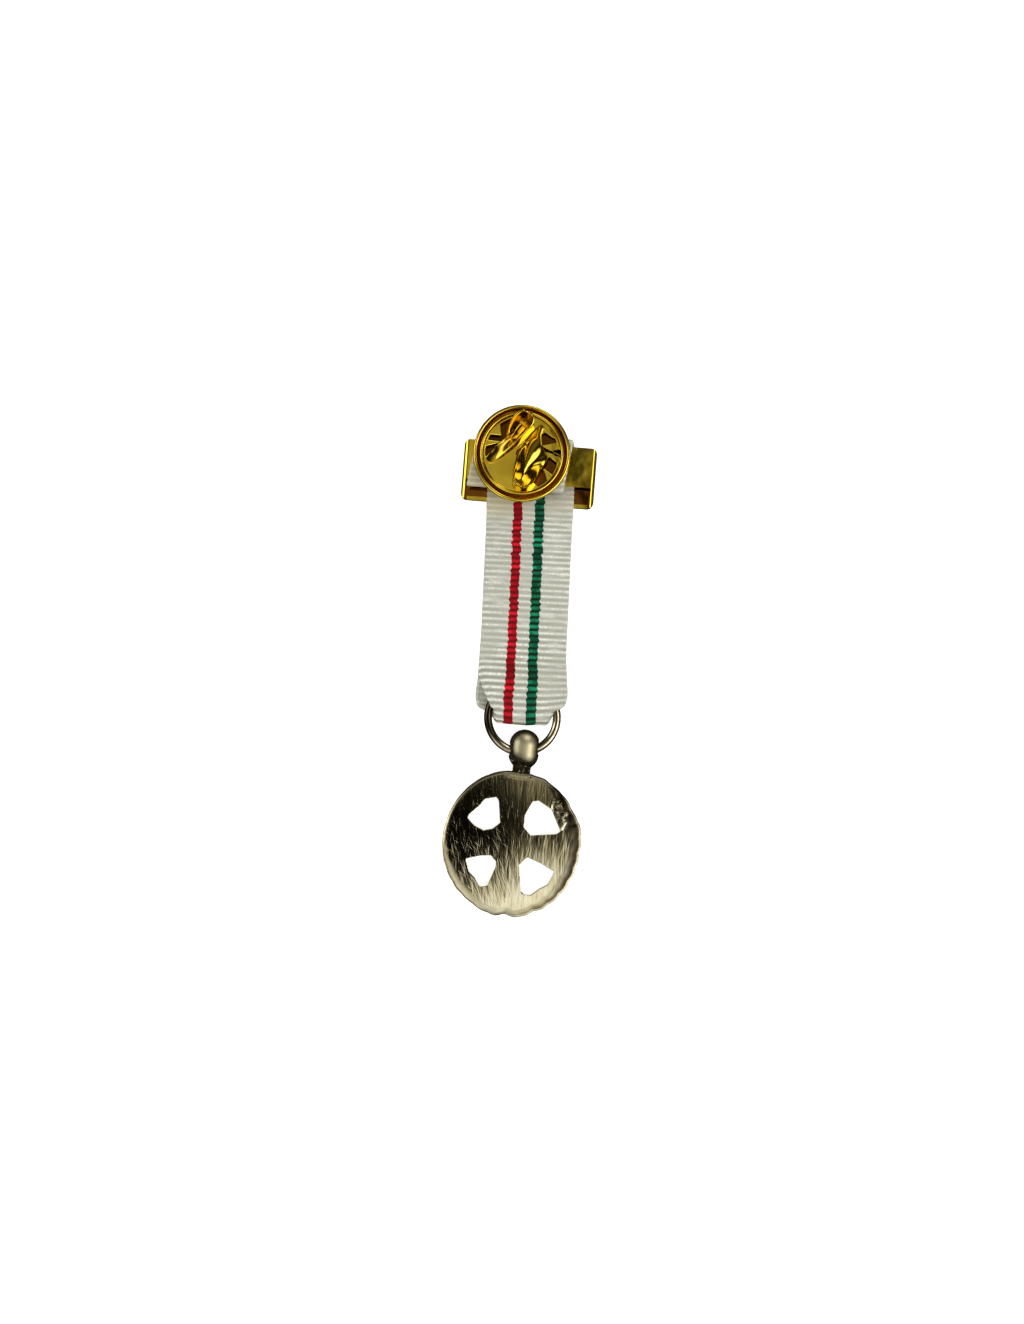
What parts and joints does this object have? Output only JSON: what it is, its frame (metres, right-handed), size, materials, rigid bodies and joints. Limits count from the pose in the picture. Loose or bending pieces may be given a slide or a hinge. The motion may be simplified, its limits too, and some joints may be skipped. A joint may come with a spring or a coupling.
{
  "type": "miniature medal",
  "caption": "Miniature medal lying on its face: pierced cast disc on a ring and ribbed ribbon, hung from a gilt brooch bar whose pin is held by a butterfly clutch.",
  "frame": {"origin": "middle of the medal's bounding box, on the surface that it lies on", "axes": "+Z away from the surface, out of the medal's back; +Y from the pendant towards the brooch bar; +X to the right seen from the back"},
  "size_m": [0.0188, 0.0617, 0.0093],
  "materials": {
    "gilt_bar": "gold-plated sheet, bright with small pits",
    "gilt_clutch": "gold-plated, bright",
    "gilt_spring": "gold-plated, bright",
    "ribbon_cloth": "ribbed grosgrain, ivory with one red and one green stripe",
    "nickel_ring": "nickel-plated wire, slightly tarnished",
    "cast_silver": "antique silvered casting, brushed back"
  },
  "bodies": {
    "medal": {"brooch_bar": "gilt_bar", "ribbon": "ribbon_cloth", "suspension_ring": "nickel_ring", "pendant": "cast_silver"},
    "clutch": {"clutch_cup": "gilt_clutch", "clutch_spring": "gilt_spring"}
  },
  "joints": [
    {"name": "clutch_pull", "type": "slide", "parent": "medal", "child": "clutch", "axis": [0, 0, 1], "range_m": [0, 0.006]}
  ]
}
